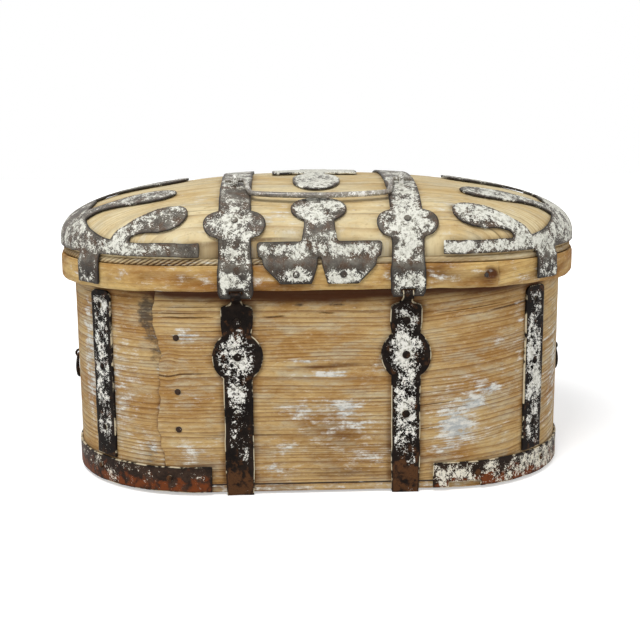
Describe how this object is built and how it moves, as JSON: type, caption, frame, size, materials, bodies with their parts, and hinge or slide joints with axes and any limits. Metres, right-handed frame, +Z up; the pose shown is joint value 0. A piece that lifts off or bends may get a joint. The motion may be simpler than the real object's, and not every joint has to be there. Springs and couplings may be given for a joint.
{
  "type": "strongbox",
  "caption": "Oval bentwood strongbox with a domed lid on forged strap hinges, a carrying bail on the lid and a drop ring at each end.",
  "frame": {"origin": "middle of the footprint on the floor plane", "axes": "+X along the length, -Y towards the side with the strap hinges, which is the side the picture shows, +Z up"},
  "size_m": [0.66, 0.3827, 0.378],
  "materials": {
    "pine_wall": "old pine with worn pale paint residue",
    "pine_lid": "old pine with worn pale paint residue",
    "wrought_iron": "dark forged iron with flaking white paint",
    "rusty_iron": "brown rust"
  },
  "bodies": {
    "box": {"bottom_board": "pine_wall", "body_band": "pine_wall", "hinge_strap_left": "wrought_iron", "hinge_strap_right": "wrought_iron", "opening_strap_left": "wrought_iron", "opening_strap_right": "wrought_iron", "hinge_nail_left_plate": "wrought_iron", "hinge_nail_left_boss": "wrought_iron", "hinge_nail_left_strap": "wrought_iron", "hinge_nail_right_plate": "wrought_iron", "hinge_nail_right_boss": "wrought_iron", "hinge_nail_right_strap": "wrought_iron", "base_band_left": "rusty_iron", "base_band_right": "rusty_iron", "corner_strap_hinge_left": "wrought_iron", "corner_strap_hinge_right": "wrought_iron", "corner_strap_opening_left": "wrought_iron", "corner_strap_opening_right": "wrought_iron", "ring_staple_left": "wrought_iron", "ring_staple_right": "wrought_iron", "lap_nail_top": "wrought_iron", "lap_nail_middle": "wrought_iron", "lap_nail_low": "wrought_iron"},
    "lid": {"lid_top": "pine_lid", "rim_band": "pine_lid", "lid_strap_left": "wrought_iron", "lid_strap_right": "wrought_iron", "bail_staple_left": "wrought_iron", "bail_staple_right": "wrought_iron", "cross_nail_left": "wrought_iron", "cross_nail_right": "wrought_iron", "end_iron_left": "wrought_iron", "end_iron_right": "wrought_iron", "centre_iron": "wrought_iron", "crown_iron": "wrought_iron", "leaf_nail_left": "wrought_iron", "leaf_nail_right": "wrought_iron", "rim_lap_nail": "wrought_iron"},
    "bail": {"bail_handle": "wrought_iron"},
    "left_ring": {"ring_left": "wrought_iron"},
    "right_ring": {"ring_right": "wrought_iron"}
  },
  "joints": [
    {"name": "lid_hinge", "type": "hinge", "parent": "box", "child": "lid", "pos_m": [-0.002, -0.188, 0.2442], "axis": [1, 0, 0], "range_deg": [0, 110]},
    {"name": "bail_swing", "type": "hinge", "parent": "lid", "child": "bail", "pos_m": [-0.00203, -0.10182, 0.37114], "axis": [-1, 0, 0], "range_deg": [0, 170]},
    {"name": "left_ring_swing", "type": "hinge", "parent": "box", "child": "left_ring", "pos_m": [-0.317, 0, 0.1394], "axis": [0, 1, 0], "range_deg": [0, 140]},
    {"name": "right_ring_swing", "type": "hinge", "parent": "box", "child": "right_ring", "pos_m": [0.317, 0, 0.1394], "axis": [0, -1, 0], "range_deg": [0, 140]}
  ]
}
